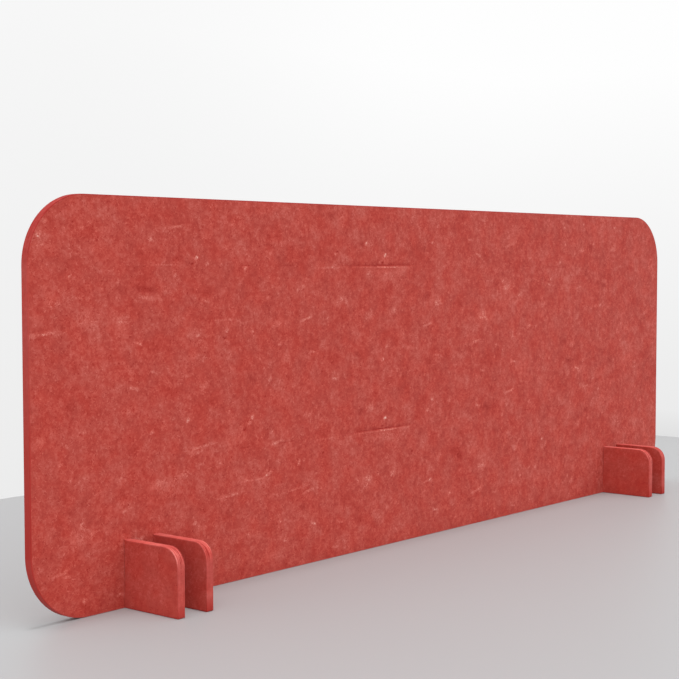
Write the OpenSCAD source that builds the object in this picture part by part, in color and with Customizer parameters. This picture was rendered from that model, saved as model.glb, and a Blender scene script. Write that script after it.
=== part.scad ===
// Free-standing acoustic desk screen, in millimetres.
// One felt panel stands on four slotted felt feet, two near each end.
// Every foot crosses the panel in a cross-lap joint: half of the joint is a slot in
// the panel's bottom edge, and the other half is a slot in the top edge of the foot.
// X runs along the panel, Y from its front to its back and Z up. The origin is on the
// surface that it stands on, at the middle of the panel.

/* [Panel] */
// Length of the panel
panel_width = 1200; // [900:10:1800]
// Height of the panel, which is the height of the screen
panel_height = 400; // [300:10:600]
// Thickness of the panel's felt board
panel_thickness = 9; // [6:0.5:12]
// Radius of the panel's four corners
panel_corner_radius = 67; // [20:1:90]

/* [Feet] */
// Length of a foot from front to back
foot_length = 158; // [120:1:220]
// Height of a foot
foot_height = 67; // [50:1:90]
// Thickness of a foot's felt board
foot_thickness = 9; // [6:0.5:12]
// Radius of a foot's two top corners
foot_corner_radius = 18; // [5:1:24]
// Distance from the panel's end to the middle of the outer foot
foot_inset = 118; // [110:1:200]
// Distance between the middles of the two feet of a pair
foot_pitch = 38; // [24:1:60]

/* [Cross-lap joints] */
// Share of the foot's height that the panel's slot takes
panel_slot_share = 0.5; // [0.4:0.05:0.6]
// Play between a board and the slot that it stands in, both sides together
slot_play = 0.2; // [0.1:0.05:0.4]
// Play between the closed ends of the two slots of a joint
seat_play = 0.2; // [0.1:0.05:0.4]

/* [Hidden] */

// Facets of a full circle
$fn = 96;

// How far a cut runs past the surface that it opens
cut_overrun = 1;

// A joint's parting line: the panel's slot ends above it and the foot's slot below it
seat_height = panel_slot_share * foot_height;
panel_slot_depth = seat_height + seat_play / 2;
panel_slot_width = foot_thickness + slot_play;
foot_slot_floor = seat_height - seat_play / 2;
foot_slot_width = panel_thickness + slot_play;

// Distance from the middle of the panel to the middle of each foot
outer_foot_x = panel_width / 2 - foot_inset;
inner_foot_x = outer_foot_x - foot_pitch;
foot_places = [-outer_foot_x, -inner_foot_x, inner_foot_x, outer_foot_x];

panel_felt = "#b94842";
foot_felt = "#b54640";

// Stands an outline that was drawn in X and Z upright, centred on its thickness
module upright_board(thickness) {
    rotate([90, 0, 0])
        linear_extrude(height = thickness, center = true)
            children();
}

// Rectangle on the X axis whose four corners have the same radius
module rounded_panel_outline(width, height, radius) {
    translate([-width / 2, radius])
        square([width, height - 2 * radius]);
    translate([radius - width / 2, 0])
        square([width - 2 * radius, height]);
    for (side = [-1, 1], level = [radius, height - radius])
        translate([side * (width / 2 - radius), level])
            circle(r = radius);
}

// Rectangle on the X axis with square bottom corners and round top corners
module rounded_foot_outline(length, height, radius) {
    translate([-length / 2, 0])
        square([length, height - radius]);
    translate([radius - length / 2, 0])
        square([length - 2 * radius, height]);
    for (side = [-1, 1])
        translate([side * (length / 2 - radius), height - radius])
            circle(r = radius);
}

// Slot that is open at the surface the panel stands on
module panel_slot_outline(place) {
    translate([place - panel_slot_width / 2, -cut_overrun])
        square([panel_slot_width, panel_slot_depth + cut_overrun]);
}

// Slot that is open at the top of a foot
module foot_slot_outline() {
    translate([-foot_slot_width / 2, foot_slot_floor])
        square([foot_slot_width, foot_height - foot_slot_floor + cut_overrun]);
}

module screen_panel() {
    color(panel_felt)
        upright_board(panel_thickness)
            difference() {
                rounded_panel_outline(panel_width, panel_height, panel_corner_radius);
                for (place = foot_places)
                    panel_slot_outline(place);
            }
}

// A foot stands across the panel, at the given distance from the panel's middle
module foot(place) {
    color(foot_felt)
        translate([place, 0, 0])
            rotate([0, 0, 90])
                upright_board(foot_thickness)
                    difference() {
                        rounded_foot_outline(foot_length, foot_height, foot_corner_radius);
                        foot_slot_outline();
                    }
}

screen_panel();
foot(foot_places[0]);  // left_outer_foot
foot(foot_places[1]);  // left_inner_foot
foot(foot_places[2]);  // right_inner_foot
foot(foot_places[3]);  // right_outer_foot
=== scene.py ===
# Free-standing acoustic screen of red felt board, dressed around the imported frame.
import math

import bmesh
import bpy
import numpy as np
from mathutils import Matrix, Vector, noise
from mathutils.geometry import delaunay_2d_cdt


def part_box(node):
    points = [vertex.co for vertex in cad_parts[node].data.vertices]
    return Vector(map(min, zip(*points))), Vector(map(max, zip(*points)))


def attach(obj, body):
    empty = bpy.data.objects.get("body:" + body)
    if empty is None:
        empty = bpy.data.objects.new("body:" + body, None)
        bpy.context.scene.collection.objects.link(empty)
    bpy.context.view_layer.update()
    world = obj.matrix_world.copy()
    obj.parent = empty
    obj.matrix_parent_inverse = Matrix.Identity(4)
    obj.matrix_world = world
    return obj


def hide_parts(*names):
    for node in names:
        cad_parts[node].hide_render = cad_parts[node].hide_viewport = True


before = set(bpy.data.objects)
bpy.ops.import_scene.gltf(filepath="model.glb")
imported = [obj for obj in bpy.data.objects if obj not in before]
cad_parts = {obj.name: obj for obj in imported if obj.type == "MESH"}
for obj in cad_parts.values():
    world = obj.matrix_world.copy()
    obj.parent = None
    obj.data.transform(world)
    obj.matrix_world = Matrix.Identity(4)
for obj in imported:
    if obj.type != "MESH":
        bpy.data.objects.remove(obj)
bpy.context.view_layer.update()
print("frame loaded:", ", ".join(sorted(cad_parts)))

mm = 0.001  # the scene is in metres, and its sizes are written in millimetres

# Camera, at the photograph's viewing angle
photoView = {
    "place": (-1449.3, -1075.7, 338.4),  # mm from the panel's middle, at floor level
    "turn": 50.297,  # degrees from +Y towards +X
    "tilt": -3.096,  # degrees, below the horizon
    "roll": -0.058,
    "lens": 78.54,  # mm
    "sensor": 36.0,  # mm
    "farthest": 60.0,  # m that it sees
}


def addCamera(view):
    cameraData = bpy.data.cameras.new("photoCamera")
    cameraData.lens = view["lens"]
    cameraData.sensor_width = view["sensor"]
    cameraData.sensor_fit = "HORIZONTAL"
    cameraData.clip_end = view["farthest"]
    camera = bpy.data.objects.new("photoCamera", cameraData)
    aim = (
        Matrix.Rotation(math.radians(-view["turn"]), 4, "Z")
        @ Matrix.Rotation(math.radians(90 + view["tilt"]), 4, "X")
        @ Matrix.Rotation(math.radians(view["roll"]), 4, "Z")
    )
    camera.matrix_world = Matrix.Translation(Vector(view["place"]) * mm) @ aim
    bpy.context.scene.collection.objects.link(camera)
    bpy.context.scene.camera = camera


addCamera(photoView)
print("camera placed")


def linearColour(hexColour):  # "#b94842" to linear red, green, blue and alpha
    channels = [int(hexColour[i : i + 2], 16) / 255 for i in (1, 3, 5)]
    linear = [c / 12.92 if c <= 0.04045 else ((c + 0.055) / 1.055) ** 2.4 for c in channels]
    return (*linear, 1.0)


def addNode(tree, kind, inputs=None, **settings):  # values are set, and sockets are linked
    node = tree.nodes.new(kind)
    for setting, value in settings.items():
        setattr(node, setting, value)
    for socket, value in (inputs or {}).items():
        if isinstance(value, bpy.types.NodeSocket):
            tree.links.new(value, node.inputs[socket])
        else:
            node.inputs[socket].default_value = value
    return node


def newMaterial(name):
    material = bpy.data.materials.new(name)
    material.use_nodes = True
    material.node_tree.nodes.clear()
    return material, material.node_tree


# Felt board
feltBoard = {
    "arris": 0.7,  # mm, radius that the knife leaves on each edge
    "slotArris": 0.25,  # share of it in the slots, where board presses on board
    "slotReach": 0.4,  # mm round a slot that count as part of it
    "arrisSteps": 3,
    "rimHold": 0.5,  # mm, a row of points inside each arris keeps the face flat up to it
    "plies": 5,  # carded layers that show along the cut edge
    "plySteps": (0.2, 0.5, 0.8),  # rows of points on each, as shares of its thickness
    "seamDepth": 0.14,  # mm that the seams between the plies lie back
    "seamEven": 0.6,  # share of it that is the same all along
    "seamUneven": 0.8,  # and the share that varies
    "seamWander": 0.3,  # mm that a seam wanders across the edge
    "wanderLength": 14.0,  # mm
    "wanderFrom": 7.0,  # how far off in the noise that is read
    "hollow": 0.1,  # mm, most that pressing leaves a face hollow
    "hollowLength": 45.0,  # mm
    "sharpFrom": 50.0,  # degrees, where an edge that turns more is a sharp one
    "panelStep": 5.0,  # mm between the points of a panel face
    "footStep": 3.0,
    "feetFrom": (0.9, 0.5),  # m, where in the web the first foot was cut, so that no two look alike
    "nextFoot": 0.21,
}

panelLow, panelHigh = (Vector(corner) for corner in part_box("screen_panel"))
footNames = ["left_outer_foot", "left_inner_foot", "right_inner_foot", "right_outer_foot"]
footBoxes = [[Vector(corner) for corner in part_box(name)] for name in footNames]

panelShape = {"cornerRadius": 67.0, "slotWidth": 9.2, "slotDepth": 33.6, "arcSteps": 24}
footShape = {
    "cornerRadius": 18.0,
    "heelRadius": 1.2,
    "slotWidth": 9.2,
    "slotFloor": 33.4,
    "arcSteps": 12,
    "heelSteps": 3,
}


def arcPoints(centre, radius, fromAngle, toAngle, steps):
    turn = [math.radians(fromAngle + (toAngle - fromAngle) * k / steps) for k in range(steps + 1)]
    return [(centre[0] + radius * math.cos(a), centre[1] + radius * math.sin(a)) for a in turn]


def panelOutline(shape):
    halfWidth = panelHigh.x
    height = panelHigh.z
    radius = shape["cornerRadius"] * mm
    halfSlot = shape["slotWidth"] * mm / 2
    depth = shape["slotDepth"] * mm
    points = []
    for low, high in footBoxes:  # along the bottom edge, from left to right
        middle = (low.x + high.x) / 2
        points += [(middle - halfSlot, 0), (middle - halfSlot, depth)]
        points += [(middle + halfSlot, depth), (middle + halfSlot, 0)]
    for x, z, start in (
        (halfWidth - radius, radius, -90),
        (halfWidth - radius, height - radius, 0),
        (radius - halfWidth, height - radius, 90),
        (radius - halfWidth, radius, 180),
    ):
        points += arcPoints((x, z), radius, start, start + 90, shape["arcSteps"])
    return points


def footOutline(shape, low, high):
    halfLength = high.y
    height = high.z
    radius = shape["cornerRadius"] * mm
    heel = shape["heelRadius"] * mm
    halfSlot = shape["slotWidth"] * mm / 2
    floor = shape["slotFloor"] * mm
    points = arcPoints((heel - halfLength, heel), heel, 180, 270, shape["heelSteps"])
    points += arcPoints((halfLength - heel, heel), heel, 270, 360, shape["heelSteps"])
    points += arcPoints((halfLength - radius, height - radius), radius, 0, 90, shape["arcSteps"])
    points += [(halfSlot, height), (halfSlot, floor), (-halfSlot, floor), (-halfSlot, height)]
    points += arcPoints((radius - halfLength, height - radius), radius, 90, 180, shape["arcSteps"])
    return points


def stepAlong(points, step):  # splits long straight stretches of a closed outline
    stepped = []
    for here, after in zip(points, points[1:] + points[:1]):
        length = math.dist(here, after)
        count = max(1, round(length / step))
        stepped += [
            (here[0] + (after[0] - here[0]) * k / count, here[1] + (after[1] - here[1]) * k / count)
            for k in range(count)
        ]
    return stepped


def inwardSteps(points):  # at each point of a closed outline, the way in that keeps both sides parallel
    steps = []
    for before, here, after in zip(points[-1:] + points[:-1], points, points[1:] + points[:1]):
        sides = []
        for start, end in ((before, here), (here, after)):
            length = math.dist(start, end)
            sides.append((-(end[1] - start[1]) / length, (end[0] - start[0]) / length))
        scale = 1 + sides[0][0] * sides[1][0] + sides[0][1] * sides[1][1]
        steps.append(((sides[0][0] + sides[1][0]) / scale, (sides[0][1] + sides[1][1]) / scale))
    return steps


def edgeRows(thickness):  # rows of points round the edge: inset, place across it and share of a seam
    board = feltBoard
    arris = board["arris"] * mm
    front = [(arris + board["rimHold"] * mm, -thickness / 2, 0.0)]
    for k in range(board["arrisSteps"] + 1):
        a = math.pi / 2 * k / board["arrisSteps"]
        front.append((arris * (1 - math.sin(a)), -thickness / 2 + arris * (1 - math.cos(a)), 0.0))
    ply = (thickness - 2 * arris) / board["plies"]
    middle = []
    for k in range(board["plies"]):
        plyStart = -thickness / 2 + arris + k * ply
        middle += [(0.0, plyStart + share * ply, 0.0) for share in board["plySteps"]]
        middle.append((0.0, plyStart + ply, 1.0))
    middle.pop()  # the last ply ends at the far arris
    back = [(inset, -across, 0.0) for inset, across, seam in reversed(front)]
    return front + middle + back


def inPanelSlot(point):
    reach = feltBoard["slotReach"]
    aside = min(abs(point[0] - (low.x + high.x) / 2) for low, high in footBoxes)
    halfSlot = panelShape["slotWidth"] / 2 + reach
    return aside < halfSlot * mm and point[1] < (panelShape["slotDepth"] + reach) * mm


def inFootSlot(point):
    reach = feltBoard["slotReach"]
    halfSlot = footShape["slotWidth"] / 2 + reach
    return abs(point[0]) < halfSlot * mm and point[1] > (footShape["slotFloor"] - reach) * mm


def edgePoint(point, inward, row, snug):  # a point of one row, a little uneven where the row is a seam
    board = feltBoard
    inset, across, seam = row
    if snug:
        inset *= board["slotArris"]
    elif seam:
        along = Vector((*point, across)) / (board["wanderLength"] * mm)
        depth = board["seamEven"] + board["seamUneven"] * noise.noise(along)
        inset += board["seamDepth"] * mm * depth
        across += board["seamWander"] * mm * noise.noise(along + Vector((board["wanderFrom"], 0, 0)))
    return (point[0] + inset * inward[0], point[1] + inset * inward[1], across)


def markAxes(mark, points):  # how far points lie along and across a mark, 1 at its rim
    turn = math.radians(mark["turn"])
    away = points - np.array(mark["place"]) * mm
    along = away[:, 0] * math.cos(turn) + away[:, 1] * math.sin(turn)
    across = away[:, 1] * math.cos(turn) - away[:, 0] * math.sin(turn)
    return 2 * along / (mark["length"] * mm), 2 * across / (mark["width"] * mm)


def markSum(marks, points, what):
    total = np.zeros(len(points))
    for mark in marks:
        along, across = markAxes(mark, points)
        total += mark[what] * np.clip(1 - along**4 - across**2, 0, 1)
    return total


# The points that carry a mark's rise, finer than the face's own
markPoints = {
    "across": (-1.0, -0.6, -0.3, 0.0, 0.3, 0.6, 1.0),  # shares of half its width
    "apart": 0.6,  # along it, as a share of its width
    "fewest": 6,
    "round": 1.2,  # squared reach, so that the ends are round
    "endClear": 1.1,  # share of its length that the face's own points keep out of
    "sideClear": 3.0,  # mm beside it that they keep out of
    "rimClear": 0.5,  # share of a step that they keep from the rim
}


def facePoints(rim, step, marks):  # points inside a face: a grid, finer on each mark
    fine = markPoints
    low, high = rim.min(axis=0), rim.max(axis=0)
    grid = [
        (low[0] + i * step, low[1] + j * step)
        for i in range(1, round((high[0] - low[0]) / step))
        for j in range(1, round((high[1] - low[1]) / step))
    ]
    points = np.array(grid)
    for mark in sorted(marks, key=lambda mark: -mark["width"]):  # the finest come last and stay whole
        along, across = markAxes(mark, points)
        sideways = 1 + fine["sideClear"] * mm / (mark["width"] * mm)
        points = points[(along / fine["endClear"]) ** 2 + (across / sideways) ** 2 > 1]
        turn = math.radians(mark["turn"])
        count = max(fine["fewest"], round(mark["length"] / mark["width"] / fine["apart"]))
        added = []
        for i in range(count + 1):
            share = 2 * i / count - 1
            for side in fine["across"]:
                a = share * mark["length"] * mm / 2
                b = side * mark["width"] * mm / 2
                if share**2 + side**2 < fine["round"]:
                    x = a * math.cos(turn) - b * math.sin(turn)
                    added.append((x, a * math.sin(turn) + b * math.cos(turn)))
        points = np.concatenate([points, np.array(added) + np.array(mark["place"]) * mm])
    nearest = np.array([np.min(np.sum((rim - point) ** 2, axis=1)) for point in points])
    return points[nearest > (fine["rimClear"] * step) ** 2]


# Painted shade: near the floor every piece is darker, and so are the upright cuts of two feet
paintedShadeAndCurve = {
    "height": 14.0,  # mm
    "deep": 0.75,  # on the cuts
    "pale": -0.13,  # on the faces
    "uprightShade": {"left_inner_foot": 0.22, "right_outer_foot": 0.3},  # painted shade on the upright cuts of these feet
    "curveFrom": 0.6,  # share of a foot's half length
}


def nearFloor(height):  # 1 on the floor, and 0 from the painted shade's height up
    return np.clip(1 - (height / (paintedShadeAndCurve["height"] * mm)) ** 2, 0, 1)


def footEdge(name, halfLength):
    uprightShade = paintedShadeAndCurve["uprightShade"].get(name, 0.0)

    def edgeTone(point, inward):  # how much painted shade, how much paler, and how far the cut curves
        curves = abs(point[0]) > paintedShadeAndCurve["curveFrom"] * halfLength
        curved = max(0.0, -2 * inward[1] * abs(inward[0])) if curves else 0.0
        upright = 1 + min(0.0, inward[1])
        return min(1.0, uprightShade * upright + paintedShadeAndCurve["deep"] * nearFloor(point[1])), 0.0, curved

    return edgeTone


def cutFaces(count, rows):  # faces round the edge, between the rows of points
    faces = []
    for r in range(rows - 1):
        for k in range(count):
            following = (k + 1) % count
            here, beyond = r * count, (r + 1) * count
            faces.append((here + k, beyond + k, beyond + following, here + following))
    return faces


def addBoardFaces(vertices, faces, count, thickness, step, marks):  # fills the two rims
    board = feltBoard
    lastRow = len(vertices) - count
    rim = np.array([v[:2] for v in vertices[:count]])
    inner = facePoints(rim, step, marks)
    filled = delaunay_2d_cdt([Vector(p) for p in (*rim, *inner)], [], [list(range(count))], 1, 1e-7)
    flatPoints, flatFaces, sources = filled[0], filled[2], filled[3]
    rise = markSum(marks, np.array([tuple(p) for p in flatPoints]), "rise") * mm
    for side, firstOfRow in ((-1, 0), (1, lastRow)):
        index = {}
        for triangle in flatFaces:
            for k in triangle:
                if k in index:
                    continue
                if sources[k] and sources[k][0] < count:
                    index[k] = firstOfRow + sources[k][0]
                    continue
                p = flatPoints[k]
                where = Vector((p[0], p[1], side * thickness))
                hollow = noise.noise(where / (board["hollowLength"] * mm))
                sunk = board["hollow"] * mm * (0.5 + 0.5 * hollow) - rise[k]
                index[k] = len(vertices)
                vertices.append((p[0], p[1], side * (thickness / 2 - max(0.0, sunk))))
            corners = [index[k] for k in triangle]
            faces.append(corners if side < 0 else corners[::-1])


def turnOutwards(mesh):
    body = bmesh.new()
    body.from_mesh(mesh)
    bmesh.ops.recalc_face_normals(body, faces=body.faces)
    body.to_mesh(mesh)
    body.free()


def giveAttribute(mesh, name, kind, field, values):
    mesh.attributes.new(name, kind, "POINT").data.foreach_set(field, values)


def boardMesh(name, outline, thickness, place, step, inSlot, edgeTone, webShift=(0, 0), marks=()):
    points = stepAlong(outline, step)
    inward = inwardSteps(points)
    rows = edgeRows(thickness)
    count = len(points)
    vertices = [edgePoint(p, n, row, inSlot(p)) for row in rows for p, n in zip(points, inward)]
    cutPoints = len(vertices)
    faces = cutFaces(count, len(rows))
    firstFelt = len(faces)
    addBoardFaces(vertices, faces, count, thickness, step, marks)
    mesh = bpy.data.meshes.new(name)
    mesh.from_pydata([place(*v) for v in vertices], [], faces)
    mesh.update()
    turnOutwards(mesh)
    for polygon in mesh.polygons:
        polygon.material_index = 1 if polygon.index < firstFelt else 0
        polygon.use_smooth = True
    mesh.set_sharp_from_angle(angle=math.radians(feltBoard["sharpFrom"]))
    onFace = np.array([v[:2] for v in vertices])
    # the marks, and painted shade on the faces near the floor
    paleness = markSum(marks, onFace, "pale") + paintedShadeAndCurve["pale"] * nearFloor(onFace[:, 1])
    tones = np.zeros((len(vertices), 3))
    tones[:, 1] = paleness
    tones[:cutPoints] = [edgeTone(p, n) for p, n in zip(points, inward)] * len(rows)
    for firstOfRow in (0, cutPoints - count):  # the rim of each face has the face's tone
        tones[firstOfRow : firstOfRow + count, 1] = paleness[firstOfRow : firstOfRow + count]
    # painted shade of a cut, marks together with painted shade, and the curve of a cut
    for column, attribute in enumerate(("shadedCut", "webMarkAndShade", "curvedCut")):
        giveAttribute(mesh, attribute, "FLOAT", "value", tones[:, column].copy())
    inWeb = [c for u, v, w in vertices for c in (u + webShift[0], v + webShift[1], w)]
    giveAttribute(mesh, "inWeb", "FLOAT_VECTOR", "vector", inWeb)  # place in the web it was cut from
    piece = bpy.data.objects.new(name, mesh)
    bpy.context.scene.collection.objects.link(piece)
    return piece


# Marks that carding and pressing left in the panel's web, listed one by one. Places are in millimetres, to
# the right of the panel's middle and above its bottom, and those under "again" come back with each turn of
# the press roll. Length, width and rise are in millimetres, and the turn is in degrees.
marking = {
    "rollTurn": 192.0,  # mm
    "endGap": 12.0,  # mm, how far marks keep from the panel's ends
    "edgeGap": 7.0,  # mm, and from its top and bottom
}
# On the folds and the pleat the dark and pale marks are partly painted shade and painted highlight, over
# real grooves and rises
webMarks = {
    # a real groove, darkened with painted shade, as are the two below it
    "fold": {
        "again": [(-85, 331.5)],
        "shape": {"length": 150.0, "width": 1.7, "turn": 0.0, "pale": -0.48, "rise": -0.12},
    },
    "foldDeepest": {
        "again": [(-80, 331.5)],
        "shape": {"length": 44.0, "width": 1.7, "turn": 0.0, "pale": -0.4, "rise": -0.06},
    },
    "shortFold": {
        "again": [(234, 329), (296, 328), (320, 327), (-249, 331.5), (-312, 332)],
        "shape": {"length": 34.0, "width": 1.8, "turn": 0.0, "pale": -0.22, "rise": -0.06},
    },
    "foldLip": {  # painted highlight where a fold's lip catches the light, on a slight real rise
        "again": [(-74, 329)],
        "shape": {"length": 122.0, "width": 1.9, "turn": 0.0, "pale": 0.34, "rise": 0.03},
    },
    "foldLipHighest": {
        "again": [(-68, 329)],
        "shape": {"length": 36.0, "width": 2.0, "turn": 0.0, "pale": 0.3, "rise": 0.02},
    },
    # painted light that spreads below the fold
    "foldGlow": {
        "again": [(-76, 321)],
        "shape": {"length": 96.0, "width": 17.0, "turn": 0.0, "pale": 0.16, "rise": 0.05},
    },
    "faintLine": {
        "again": [(-180, 329)],
        "once": [(-425, 333), (-342, 276), (-300, 104)],
        "shape": {"length": 56.0, "width": 3.2, "turn": 0.0, "pale": 0.25, "rise": 0.02},
    },
    "nick": {
        "again": [(-80, 334.6)],
        "once": [(-392, 334), (-345, 257), (-316, 159), (-188, 122), (-22, 107), (-163, 347)],
        "shape": {"length": 5.5, "width": 3.0, "turn": 12.0, "pale": -0.65, "rise": -0.08},
    },
    "wedge": {  # hollow over a pressed pleat, darkened with painted shade
        "once": [(-453, 309)],
        "shape": {"length": 36.0, "width": 7.5, "turn": -6.0, "pale": -0.38, "rise": -0.06},
    },
    "pleat": {  # its lower lip, lightened with painted highlight
        "once": [(-450, 300)],
        "shape": {"length": 42.0, "width": 6.0, "turn": -6.0, "pale": 0.3, "rise": 0.05},
    },
    "longStreak": {  # a drawn-out tuft
        "once": [(-415, 371), (-583, 270), (-380, 147), (-236, 86), (-336, 92)],
        "shape": {"length": 50.0, "width": 3.8, "turn": 6.0, "pale": 0.36, "rise": 0.04},
    },
    "streak": {
        "again": [(191, 357), (-216, 273), (114, 234), (9, 259)],
        "once": [(-385, 142), (-566, 46), (-264, 141)],
        "shape": {"length": 26.0, "width": 4.4, "turn": 13.0, "pale": 0.42, "rise": 0.05},
    },
    "flatStreak": {
        "again": [(27, 221), (-167, 204), (200, 204)],
        "once": [(-159, 39), (-557, 42), (99, 363)],
        "shape": {"length": 15.0, "width": 3.8, "turn": -5.0, "pale": 0.44, "rise": 0.05},
    },
    "slantedStreak": {
        "again": [(-467, 257), (-472, 213), (-205, 236), (127, 388), (118, 344)],
        "once": [(-373, 296), (-490, 14), (362, 186), (286, 305)],
        "shape": {"length": 14.0, "width": 4.0, "turn": -14.0, "pale": 0.46, "rise": 0.06},
    },
    "clump": {
        "again": [
            (-106, 274), (131, 264), (-104, 357), (463, 353), (-60, 277), (31, 286), (125, 267),
            (185, 301), (206, 282), (277, 278), (350, 220), (366, 297), (375, 352), (439, 306),
        ],
        "once": [
            (-251, 231), (-475, 191), (-404, 121), (-445, 116), (-488, 280), (-353, 128),
            (-159, 291), (-187, 159), (-215, 167), (-264, 269), (-376, 209), (-588, 171),
            (386, 158), (576, 325), (562, 259), (504, 237), (487, 161), (441, 292), (339, 180),
        ],
        "shape": {"length": 17.0, "width": 11.0, "turn": 20.0, "pale": 0.3, "rise": 0.05},
    },
    "fleck": {
        "again": [
            (-230, 305), (-536, 368), (468, 384), (528, 370), (198, 237), (240, 250), (256, 249),
            (379, 195), (325, 387), (423, 344), (-75, 343), (10, 346), (-30, 232), (-80, 221),
            (-72, 236), (55, 355), (56, 238), (239, 340), (341, 229), (174, 310), (214, 291),
            (-275, 345), (-221, 309), (159, 227), (19, 359), (69, 206), (271, 286), (407, 360),
        ],
        "once": [
            (-587, 361), (-371, 334), (-579, 374), (-551, 323), (-536, 15), (-477, 229),
            (-447, 227), (-400, 221), (-449, 358), (-399, 369), (-385, 261), (-430, 306),
            (-416, 323), (-279, 298), (-276, 210), (-260, 247), (-271, 309), (-217, 376),
            (-165, 345), (-314, 329), (-304, 262), (-340, 180), (-311, 47), (-304, 60), (-438, 182),
            (-565, 148), (-490, 127), (-553, 132), (-539, 89), (-485, 95), (-537, 17), (-261, 53),
            (-253, 32), (-45, 200), (156, 212), (174, 135), (79, 73), (218, 50), (317, 334),
            (294, 312), (356, 346), (327, 381), (330, 358), (412, 271), (549, 127), (486, 220),
            (30, 379), (-600, 251), (427, 273),
        ],
        "shape": {"length": 7.0, "width": 5.0, "turn": 30.0, "pale": 0.38, "rise": 0.05},
    },
    "brightFleck": {
        "again": [(-75, 343.5)],
        "once": [
            (-386, 340), (-342, 265), (-308, 166), (-281, 107), (-449, 168), (-399, 176),
            (-390, 70), (-112, 356), (-304, 171), (-276, 109), (-229, 116),
        ],
        "shape": {"length": 7.0, "width": 5.5, "turn": 40.0, "pale": 0.58, "rise": 0.07},
    },
    "darkSpot": {
        "again": [
            (158, 309), (104, 271), (136, 340), (397, 356), (327, 226), (254, 286), (-117, 355),
            (6, 291), (79, 282), (101, 224), (341, 197), (434, 304), (389, 317), (-126, 230),
        ],
        "once": [
            (-486, 309), (-186, 315), (-175, 387), (-57, 240), (10, 214), (-92, 217), (10, 296),
            (-95, 27), (-282, 289), (227, 335), (-219, 64), (98, 147), (420, 304), (420, 165),
            (-552, 201), (-305, 212), (-462, 344),
        ],
        "shape": {"length": 16.0, "width": 10.0, "turn": -15.0, "pale": -0.27, "rise": -0.04},
    },
    "palePatch": {
        "once": [
            (-424, 112), (-105, 80), (-537, 78), (-330, 150), (-566, 302), (-533, 281), (-587, 355),
            (184, 305), (131, 260), (372, 179), (29, 286),
        ],
        "shape": {"length": 40.0, "width": 26.0, "turn": 8.0, "pale": 0.18, "rise": 0.03},
    },
    "darkPatch": {
        "again": [(-70, 349)],
        "once": [(197, 186), (355, 198), (-408, 62), (-225, 222)],
        "shape": {"length": 32.0, "width": 16.0, "turn": 5.0, "pale": -0.18, "rise": -0.03},
    },
}


def spreadMarks(kinds):
    lowest = marking["edgeGap"]
    highest = panelHigh.z / mm - lowest
    widest = panelHigh.x / mm - marking["endGap"]
    marks = []
    for kind in kinds.values():
        places = list(kind.get("once", []))
        for x, z in kind.get("again", []):
            places += [(x, z + turn * marking["rollTurn"]) for turn in (-1, 0, 1)]
        kept = [(x, z) for x, z in places if abs(x) < widest and lowest < z < highest]
        marks += [{**kind["shape"], "place": place} for place in kept]
    return marks


# The panel's cut edge: painted shade deepens its colour along the ends, more towards the bottom, and on
# its lower corners, and darkens its upper corners
paintedEdgeShade = {
    "endHigh": 0.24,
    "endLow": 1.05,
    "lowCorner": 0.85,
    "cornerFrom": 1.0,  # degrees below level from which an edge is a lower corner's
    "cornerFade": 75.0,  # degrees round a corner over which that fades out
    "upperCornerShade": (-0.12, -0.2),  # how much darker an upper corner is, in two steps
    "upperCornerShadeOver": (5.0, 36.0),  # degrees round it that each of them takes
}


def panelEdge(point, inward):  # the same three tones as for a foot, here painted shade along the ends and corners
    edge = paintedEdgeShade
    radius = panelShape["cornerRadius"] * mm
    if abs(point[0]) < panelHigh.x - radius and point[1] < radius:
        return 0.0, 0.0, 0.0
    share = (point[1] - radius) / (panelHigh.z - 2 * radius)
    share = min(1.0, max(0.0, share))
    deep = edge["endLow"] + (edge["endHigh"] - edge["endLow"]) * share
    lift = math.degrees(math.asin(max(-1.0, min(1.0, -inward[1]))))
    fade = min(1.0, abs(lift) / edge["cornerFade"])
    if lift < -edge["cornerFrom"]:
        return edge["lowCorner"] * (1 - fade**4), 0.0, 0.0
    steps = zip(edge["upperCornerShade"], edge["upperCornerShadeOver"])
    upperCornerShade = sum(darker * min(1.0, max(0.0, lift) / turn) for darker, turn in steps)
    return deep * (1 - fade**4), upperCornerShade, 0.0


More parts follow.
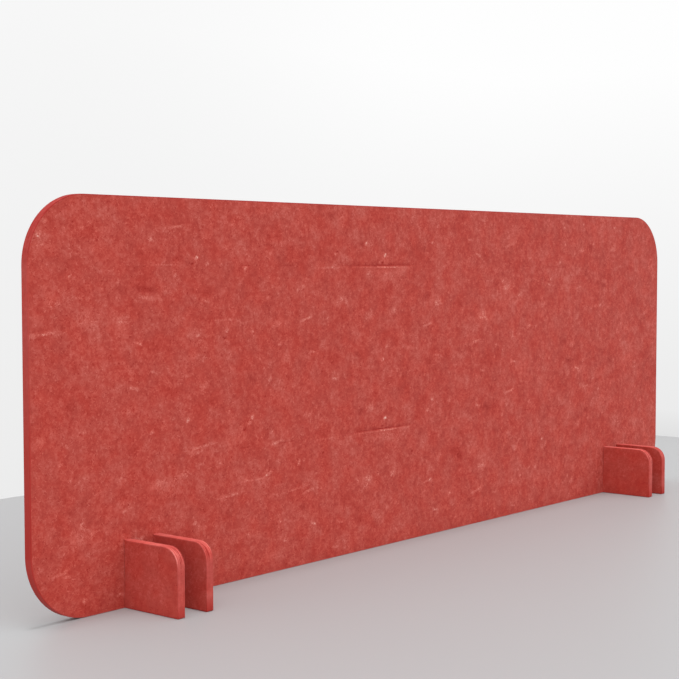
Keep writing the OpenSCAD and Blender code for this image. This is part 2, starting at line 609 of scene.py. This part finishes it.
# Polyester felt, carded, needle-punched and pressed hot into stiff board. It is matte all over, as no
# fibre shines by itself, but packed and loose fibre make a mottle from a millimetre to centimetres across.
finishes = {
    "needledPolyesterFelt": {  # open enough to show the mottle in full
        "colours": ("#93241d", "#af463c", "#c96e63", "#deb6aa"),  # packed, plain, loose and pale fibre
        "mottle": 1.0,
        "cut": False,
    },
    "pressedPolyesterFelt": {  # denser, so it looks more even
        "colours": ("#9a261f", "#b5473d", "#d16e66", "#e6b6ac"),
        "mottle": 0.6,
        "cut": False,
    },
    "knifeCutPolyesterFelt": {  # fibre ends look paler, and the plies show as fine lines along the edge
        "colours": ("#8e221d", "#b8514a", "#db7870", "#e9c8bf"),
        "mottle": 0.5,
        "cut": True,
    },
}
felt = {
    "shadedCut": "#a42b24",  # painted shade on cut edges: the panel's ends and corners, every foot near the floor, and the upright cuts of two feet
    "redder": "#ffdcd5",  # where red fibre outweighs the rest
    "redderSize": 22.0,  # mm, as all sizes here
    "redderShare": (0.25, 0.75),
    "driftSize": 7.0,  # how fibre bends the mottle
    "drift": 3.0,
    "cloudSize": 60.0,  # and halved twice over
    "cloudDetail": 2.0,
    "cloudFineness": 1.0,
    "cloud": 0.3,
    "cloudGrowth": (0.8, 1.55),  # from the panel's left end to its right one
    "grainSize": 5.5,  # and halved up to three times over
    "grainDetail": 2.7,
    "grainFineness": 0.75,
    "grain": 0.77,
    "grainGrowth": (0.97, 1.05),
    "tuftSize": 1.7,
    "tuft": 0.16,
    "pitSize": 1.8,  # where needles went in
    "pit": -0.3,
    "pitsFrom": 0.31,  # m off in the noise, so that pits and tufts differ
    "spotShare": (0.62, 0.74),  # part of the noise that makes tufts and pits
    "spotMiddle": 0.06,  # their average
    "curlSizes": (5.0, 8.0),  # fibre is 0.02 mm thick, so its curls are drawn coarser to show
    # across a curl: its pale fibre, then a painted shadow beside it
    "curlAcross": ((0.465, 0.5), (0.486, 1.0), (0.514, 1.0), (0.534, 0.15), (0.556, 0.15), (0.58, 0.5)),
    "curlLength": 6.0,
    "curlShare": (0.54, 0.63),
    "curlsFrom": (0.7, 1.1),  # m off in the noise, for each size
    "curlsOnMarks": 0.3,
    "curl": 0.28,
    "curlMiddle": 0.005,  # their average
    "mark": 0.5,
    "markGrain": 1.6,  # size at which fibre breaks a mark up
    "markRagged": 3.2,
    "strataLength": 26.0,  # fine lines of the plies along a cut edge
    "strataPitch": 1.1,
    "strata": 0.2,
    "openStrata": 1.6,  # more where the cut curves
    "between": -0.12,
    "arrisHighlight": 0.2,  # painted highlight along the arrises where a curved cut faces up
    "arrisHighlightReach": (1.4, 0.4),  # from the face
    "relief": 0.11,  # from packed to pale fibre
    "roughness": 0.95,
    "specular": 0.2,
    "sheen": 0.04,
    "sheenRoughness": 0.5,
}
soft = {"interpolation_type": "SMOOTHSTEP"}


def curls(tree, place, mark, size, offset):  # above 0 on short curling fibres, and below 0 beside them as a painted shadow of each raised fibre
    moved = addNode(tree, "ShaderNodeVectorMath", {0: place, 1: (offset, 0.0, offset)}, operation="ADD")
    bends = addNode(tree, "ShaderNodeTexNoise", {"Vector": moved.outputs[0], "Scale": 1 / (size * mm)})
    across = addNode(tree, "ShaderNodeValToRGB", {"Fac": bends.outputs["Fac"]})
    stops = across.color_ramp.elements
    for number, (position, tone) in enumerate(felt["curlAcross"]):
        stop = stops[number] if number < 2 else stops.new(position)
        stop.position = position
        stop.color = (tone, tone, tone, 1)
    moved = addNode(tree, "ShaderNodeVectorMath", {0: place, 1: (0.0, offset, -offset)}, operation="ADD")
    scale = 1 / (felt["curlLength"] * mm)
    spread = addNode(tree, "ShaderNodeTexNoise", {"Vector": moved.outputs[0], "Scale": scale})
    loose = addNode(
        tree,
        "ShaderNodeMath",
        {0: mark, 1: felt["curlsOnMarks"], 2: spread.outputs["Fac"]},
        operation="MULTIPLY_ADD",
    )
    least, most = felt["curlShare"]
    shown = addNode(
        tree,
        "ShaderNodeMapRange",
        {"Value": loose.outputs[0], "From Min": least, "From Max": most},
        **soft,
    )
    signed = addNode(tree, "ShaderNodeMath", {0: across.outputs["Color"], 1: 0.5}, operation="SUBTRACT")
    return addNode(
        tree, "ShaderNodeMath", {0: signed.outputs[0], 1: shown.outputs[0]}, operation="MULTIPLY"
    ).outputs[0]


def tuftsOrPits(tree, place, size, offset):  # 1 on small soft spots, and 0 between them
    moved = addNode(tree, "ShaderNodeVectorMath", {0: place, 1: (offset, offset, 0.0)}, operation="ADD")
    spots = addNode(tree, "ShaderNodeTexNoise", {"Vector": moved.outputs[0], "Scale": 1 / (size * mm)})
    least, most = felt["spotShare"]
    return addNode(
        tree,
        "ShaderNodeMapRange",
        {"Value": spots.outputs[0], "From Min": least, "From Max": most},
        **soft,
    ).outputs[0]


def grownBy(tree, run, value, growth):  # a noise about 0, which changes in strength along the panel
    growing = addNode(
        tree,
        "ShaderNodeMapRange",
        {
            "Value": run,
            "From Min": panelLow.x,
            "From Max": panelHigh.x,
            "To Min": growth[0],
            "To Max": growth[1],
        },
    )
    about = addNode(tree, "ShaderNodeMath", {0: value, 1: 0.5}, operation="SUBTRACT")
    return addNode(
        tree, "ShaderNodeMath", {0: about.outputs[0], 1: growing.outputs[0]}, operation="MULTIPLY"
    ).outputs[0]


def webMottle(tree, inWeb):  # what makes the felt paler or darker: a value, its amount and its middle
    drift = addNode(tree, "ShaderNodeTexNoise", {"Vector": inWeb, "Scale": 1 / (felt["driftSize"] * mm)})
    amount = felt["drift"] * mm
    bent = addNode(
        tree,
        "ShaderNodeVectorMath",
        {0: drift.outputs["Color"], 1: (amount, amount, amount), 2: inWeb},
        operation="MULTIPLY_ADD",
    ).outputs[0]
    clouds = addNode(
        tree,
        "ShaderNodeTexNoise",
        {
            "Vector": inWeb,
            "Scale": 1 / (felt["cloudSize"] * mm),
            "Detail": felt["cloudDetail"],
            "Roughness": felt["cloudFineness"],
        },
    )
    run = addNode(tree, "ShaderNodeSeparateXYZ", {"Vector": inWeb}).outputs["X"]
    cloud = grownBy(tree, run, clouds.outputs["Fac"], felt["cloudGrowth"])
    grain = addNode(
        tree,
        "ShaderNodeTexNoise",
        {
            "Vector": bent,
            "Scale": 1 / (felt["grainSize"] * mm),
            "Detail": felt["grainDetail"],
            "Roughness": felt["grainFineness"],
        },
    )
    parts = [
        (cloud, felt["cloud"], 0.0),
        (grownBy(tree, run, grain.outputs["Fac"], felt["grainGrowth"]), felt["grain"], 0.0),
        (tuftsOrPits(tree, bent, felt["tuftSize"], 0.0), felt["tuft"], felt["spotMiddle"]),
        (tuftsOrPits(tree, bent, felt["pitSize"], felt["pitsFrom"]), felt["pit"], felt["spotMiddle"]),
    ]
    return bent, parts


def faceParts(tree, bent):  # loose fibre, which a cut doesn't have
    mark = addNode(tree, "ShaderNodeAttribute", attribute_name="webMarkAndShade").outputs["Fac"]
    parts = []
    for size, offset in zip(felt["curlSizes"], felt["curlsFrom"]):
        parts.append((curls(tree, bent, mark, size, offset), felt["curl"], felt["curlMiddle"]))
    return parts


def ragMarkAndShade(tree, bent, lightness):  # the paleness of the marks and of the painted shade, broken up by the fibre
    mark = addNode(tree, "ShaderNodeAttribute", attribute_name="webMarkAndShade").outputs["Fac"]
    grain = addNode(
        tree, "ShaderNodeTexNoise", {"Vector": bent, "Scale": 1 / (felt["markGrain"] * mm), "Detail": 1.0}
    )
    start = 1 - felt["markRagged"] / 2
    ragged = addNode(
        tree,
        "ShaderNodeMath",
        {0: grain.outputs["Fac"], 1: felt["markRagged"], 2: start},
        operation="MULTIPLY_ADD",
    )
    ragged = addNode(tree, "ShaderNodeMath", {0: mark, 1: ragged.outputs[0]}, operation="MULTIPLY")
    return addNode(
        tree,
        "ShaderNodeMath",
        {0: ragged.outputs[0], 1: felt["mark"], 2: lightness},
        operation="MULTIPLY_ADD",
    ).outputs[0]


def cutParts(tree, inWeb):  # fine lines of the plies, and a painted highlight along each arris where a cut curves up
    layers = addNode(
        tree,
        "ShaderNodeMapping",
        {
            "Vector": inWeb,
            "Scale": (felt["strataLength"] * mm, felt["strataLength"] * mm, felt["strataPitch"] * mm),
        },
        vector_type="TEXTURE",
    )
    strata = addNode(
        tree, "ShaderNodeTexNoise", {"Vector": layers.outputs[0], "Scale": 1.0, "Detail": 1.0}
    )
    depth = addNode(tree, "ShaderNodeSeparateXYZ", {"Vector": inWeb}).outputs["Z"]
    away = addNode(tree, "ShaderNodeMath", {0: depth}, operation="ABSOLUTE").outputs[0]
    start, end = ((panelHigh.y - panelLow.y) / 2 - reach * mm for reach in felt["arrisHighlightReach"])
    arris = addNode(
        tree, "ShaderNodeMapRange", {"Value": away, "From Min": start, "From Max": end}, **soft
    )
    curved = addNode(tree, "ShaderNodeAttribute", attribute_name="curvedCut").outputs["Fac"]
    highlighted = addNode(tree, "ShaderNodeMath", {0: arris.outputs[0], 1: curved}, operation="MULTIPLY")
    lines = addNode(tree, "ShaderNodeMath", {0: strata.outputs["Fac"], 1: 0.5}, operation="SUBTRACT")
    opened = addNode(tree, "ShaderNodeMath", {0: lines.outputs[0], 1: curved}, operation="MULTIPLY")
    return [
        (strata.outputs["Fac"], felt["strata"], 0.5),
        (opened.outputs[0], felt["openStrata"], 0.0),
        (curved, felt["between"], 0.0),
        (highlighted.outputs[0], felt["arrisHighlight"], 0.0),
    ]


def feltMaterial(name, colours, mottle, cut):
    material, tree = newMaterial(name)
    inWeb = addNode(tree, "ShaderNodeAttribute", attribute_name="inWeb").outputs["Vector"]
    bent, parts = webMottle(tree, inWeb)
    if not cut:
        parts += faceParts(tree, bent)
    parts = [(value, amount * mottle, middle) for value, amount, middle in parts]
    if cut:
        parts += cutParts(tree, inWeb)
    lightness = 1 / 3 - sum(amount * middle for value, amount, middle in parts)  # a third is plain felt
    for value, amount, middle in parts:
        lightness = addNode(
            tree, "ShaderNodeMath", {0: value, 1: amount, 2: lightness}, operation="MULTIPLY_ADD"
        ).outputs[0]
    if cut:
        mark = addNode(tree, "ShaderNodeAttribute", attribute_name="webMarkAndShade").outputs["Fac"]
        lightness = addNode(tree, "ShaderNodeMath", {0: mark, 1: lightness}, operation="ADD").outputs[0]
    else:
        lightness = ragMarkAndShade(tree, bent, lightness)
    ramp = addNode(tree, "ShaderNodeValToRGB", {"Fac": lightness})
    stops = ramp.color_ramp.elements
    stops[0].color = linearColour(colours[0])
    stops[1].color = linearColour(colours[3])
    stops.new(1 / 3).color = linearColour(colours[1])
    stops.new(2 / 3).color = linearColour(colours[2])
    reds = addNode(tree, "ShaderNodeTexNoise", {"Vector": inWeb, "Scale": 1 / (felt["redderSize"] * mm)})
    least, most = felt["redderShare"]
    redder = addNode(
        tree,
        "ShaderNodeMapRange",
        {"Value": reds.outputs["Fac"], "From Min": least, "From Max": most},
        **soft,
    )
    colour = addNode(
        tree,
        "ShaderNodeMix",
        {"Factor": redder.outputs[0], 6: ramp.outputs["Color"], 7: linearColour(felt["redder"])},
        data_type="RGBA",
        blend_type="MULTIPLY",
    ).outputs[2]
    if cut:
        # painted shade, mixed into the cut's colour
        deep = addNode(tree, "ShaderNodeAttribute", attribute_name="shadedCut").outputs["Fac"]
        colour = addNode(
            tree,
            "ShaderNodeMix",
            {"Factor": deep, 6: colour, 7: linearColour(felt["shadedCut"])},
            data_type="RGBA",
        ).outputs[2]
    bump = addNode(
        tree, "ShaderNodeBump", {"Height": lightness, "Strength": 1.0, "Distance": felt["relief"] * mm}
    )
    shader = addNode(
        tree,
        "ShaderNodeBsdfPrincipled",
        {
            "Base Color": colour,
            "Roughness": felt["roughness"],
            "Specular IOR Level": felt["specular"],
            "Sheen Weight": felt["sheen"],
            "Sheen Roughness": felt["sheenRoughness"],
            "Normal": bump.outputs["Normal"],
        },
    )
    addNode(tree, "ShaderNodeOutputMaterial", {"Surface": shader.outputs["BSDF"]})
    return material


felts = {name: feltMaterial(name, **finish) for name, finish in finishes.items()}
print("felt dyed")

panel = boardMesh(
    "feltPanel",
    panelOutline(panelShape),
    panelHigh.y - panelLow.y,
    lambda u, v, w: (u, w, v),
    feltBoard["panelStep"] * mm,
    inPanelSlot,
    panelEdge,
    marks=spreadMarks(webMarks),
)
panel.data.materials.append(felts["needledPolyesterFelt"])
panel.data.materials.append(felts["knifeCutPolyesterFelt"])
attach(panel, "panel")
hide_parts("screen_panel")
print("panel made:", len(panel.data.polygons), "faces")

alongWeb, upWeb = feltBoard["feetFrom"]
for number, (footName, (low, high)) in enumerate(zip(footNames, footBoxes)):
    middle = (low.x + high.x) / 2
    foot = boardMesh(
        "felt_" + footName,
        footOutline(footShape, low, high),
        high.x - low.x,
        lambda u, v, w, middle=middle: (middle + w, u, v),
        feltBoard["footStep"] * mm,
        inFootSlot,
        footEdge(footName, high.y),
        webShift=(alongWeb + feltBoard["nextFoot"] * number, upWeb),
    )
    foot.data.materials.append(felts["pressedPolyesterFelt"])
    foot.data.materials.append(felts["knifeCutPolyesterFelt"])
    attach(foot, footName)
    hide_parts(footName)
print("feet made")

# Studio: a grey floor, two white walls, soft light from all sides and one lamp straight above
studio = {
    "floor": "#979798",
    "floorHalf": 30.0,  # m
    "floorRoughness": 0.5,
    "wallCorner": (1119.0, 624.0),  # mm, where the back wall and the side wall meet
    "wallReach": (20.0, 20.0, 8.0),  # m to the left, forwards and up
    "wallFrom": -140.0,  # mm, where the tone starts to change towards the corner
    "wallSpan": 1000.0,
    "wallRise": 700.0,
    "wallLow": ("#ececec", "#eaeaea"),
    "wallHigh": ("#f7f7f7", "#fefefe"),
    "wallFoot": "#e1e1e1",  # less light comes to the foot of the side wall
    "wallFootRise": 52.0,
    "allRound": 0.1,
    "softboxes": (  # towards, how narrow, how strong
        ((0, 0, 1), 6, 2.14),
        ((0, -1, 0), 1, 1.58),
        ((-1, 0, 0), 1, 0.89),
        ((0, 1, 0), 1, 0.45),
        ((1, 0, 0), 1, 0.1),
    ),
    "lamp": 1.74,
    "lampSpread": 10.0,  # degrees
}


def addStage(name, corners, faces, material):
    mesh = bpy.data.meshes.new(name)
    mesh.from_pydata(corners, [], faces)
    mesh.materials.append(material)
    sheet = bpy.data.objects.new(name, mesh)
    bpy.context.scene.collection.objects.link(sheet)
    return sheet


def paintedFloor():
    material, tree = newMaterial("paintedFloor")
    shader = addNode(
        tree,
        "ShaderNodeBsdfPrincipled",
        {"Base Color": linearColour(studio["floor"]), "Roughness": studio["floorRoughness"]},
    )
    addNode(tree, "ShaderNodeOutputMaterial", {"Surface": shader.outputs["BSDF"]})
    return material


def whiteWall():  # glows with painted light, paler higher up and changing along the walls, so it is its own light, and seen from the front only
    material, tree = newMaterial("whiteWall")
    place = addNode(tree, "ShaderNodeNewGeometry")
    run = addNode(tree, "ShaderNodeAttribute", attribute_name="alongWall").outputs["Fac"]
    right = addNode(
        tree, "ShaderNodeMapRange", {"Value": run, "From Max": studio["wallSpan"] * mm}, **soft
    ).outputs[0]
    height = addNode(tree, "ShaderNodeSeparateXYZ", {"Vector": place.outputs["Position"]}).outputs["Z"]
    rise = studio["wallRise"] * mm
    up = addNode(tree, "ShaderNodeMapRange", {"Value": height, "From Max": rise}).outputs[0]
    tones = []
    for left, far in (studio["wallLow"], studio["wallHigh"]):
        ends = {"Factor": right, 6: linearColour(left), 7: linearColour(far)}
        tones.append(addNode(tree, "ShaderNodeMix", ends, data_type="RGBA").outputs[2])
    tone = addNode(tree, "ShaderNodeMix", {"Factor": up, 6: tones[0], 7: tones[1]}, data_type="RGBA")
    foot = addNode(tree, "ShaderNodeAttribute", attribute_name="wallFoot").outputs["Fac"]
    tone = addNode(
        tree,
        "ShaderNodeMix",
        {"Factor": foot, 6: tone.outputs[2], 7: linearColour(studio["wallFoot"])},
        data_type="RGBA",
    )
    glow = addNode(tree, "ShaderNodeEmission", {"Color": tone.outputs[2], "Strength": 1.0})
    clear = addNode(tree, "ShaderNodeBsdfTransparent")
    seen = addNode(
        tree,
        "ShaderNodeMixShader",
        {0: place.outputs["Backfacing"], 1: glow.outputs[0], 2: clear.outputs[0]},
    )
    addNode(tree, "ShaderNodeOutputMaterial", {"Surface": seen.outputs[0]})
    return material


def addWalls():  # a back wall and a side wall that meet at a right angle
    cornerX, backY = (value * mm for value in studio["wallCorner"])
    toLeft, forwards, up = studio["wallReach"]
    footRise = studio["wallFootRise"] * mm
    start = studio["wallFrom"] * mm
    columns = [  # place, length along the walls and whether the foot is darker
        ((-toLeft, backY), -toLeft - start, 0.0),
        ((cornerX, backY), cornerX - start, 0.0),
        ((cornerX, backY - footRise), cornerX - start + footRise, 1.0),
        ((cornerX, backY - forwards), cornerX - start + forwards, 1.0),
    ]
    heights = (0.0, footRise, up)
    corners = [(*place, z) for z in heights for place, run, foot in columns]
    faces = [(row + k, row + k + 1, row + k + 5, row + k + 4) for row in (0, 4) for k in range(3)]
    walls = addStage("studioWalls", corners, faces, whiteWall())
    runs = [run for z in heights for place, run, foot in columns]
    feet = [0.0 if z else foot for z in heights for place, run, foot in columns]
    giveAttribute(walls.data, "alongWall", "FLOAT", "value", runs)
    giveAttribute(walls.data, "wallFoot", "FLOAT", "value", feet)
    walls.visible_diffuse = False  # they don't light the screen
    walls.visible_shadow = False
    walls.visible_transmission = False


half = studio["floorHalf"]
floorCorners = [(-half, -half, 0), (half, -half, 0), (half, half, 0), (-half, half, 0)]
addStage("studioFloor", floorCorners, [(0, 1, 2, 3)], paintedFloor())
addWalls()

lampData = bpy.data.lights.new("overheadLamp", "SUN")
lampData.energy = studio["lamp"]
lampData.angle = math.radians(studio["lampSpread"])
lamp = bpy.data.objects.new("overheadLamp", lampData)  # a sun lamp points straight down as it is made
bpy.context.scene.collection.objects.link(lamp)

world = bpy.data.worlds.new("studioDome")
bpy.context.scene.world = world
world.use_nodes = True
tree = world.node_tree
tree.nodes.clear()
direction = addNode(tree, "ShaderNodeTexCoord").outputs["Generated"]
level = studio["allRound"]
for towards, narrowness, amount in studio["softboxes"]:
    facing = addNode(tree, "ShaderNodeVectorMath", {0: direction, 1: towards}, operation="DOT_PRODUCT")
    facing = addNode(tree, "ShaderNodeMath", {0: facing.outputs["Value"], 1: 0.0}, operation="MAXIMUM")
    lobe = addNode(tree, "ShaderNodeMath", {0: facing.outputs[0], 1: narrowness}, operation="POWER")
    level = addNode(
        tree, "ShaderNodeMath", {0: lobe.outputs[0], 1: amount, 2: level}, operation="MULTIPLY_ADD"
    ).outputs[0]
softboxLight = addNode(tree, "ShaderNodeBackground", {"Color": (1, 1, 1, 1), "Strength": level})
white = addNode(tree, "ShaderNodeBackground", {"Color": (1, 1, 1, 1), "Strength": 1.0})
rays = addNode(tree, "ShaderNodeLightPath")
seen = rays.outputs["Is Camera Ray"]
for name in ("Is Glossy Ray", "Is Transmission Ray"):  # or mirrored, or seen through something
    ray = rays.outputs[name]
    seen = addNode(tree, "ShaderNodeMath", {0: seen, 1: ray}, operation="MAXIMUM").outputs[0]
backdrop = addNode(
    tree, "ShaderNodeMixShader", {0: seen, 1: softboxLight.outputs[0], 2: white.outputs[0]}
)
addNode(tree, "ShaderNodeOutputWorld", {"Surface": backdrop.outputs[0]})

bpy.context.scene.view_settings.view_transform = "Standard"
print("studio lit")
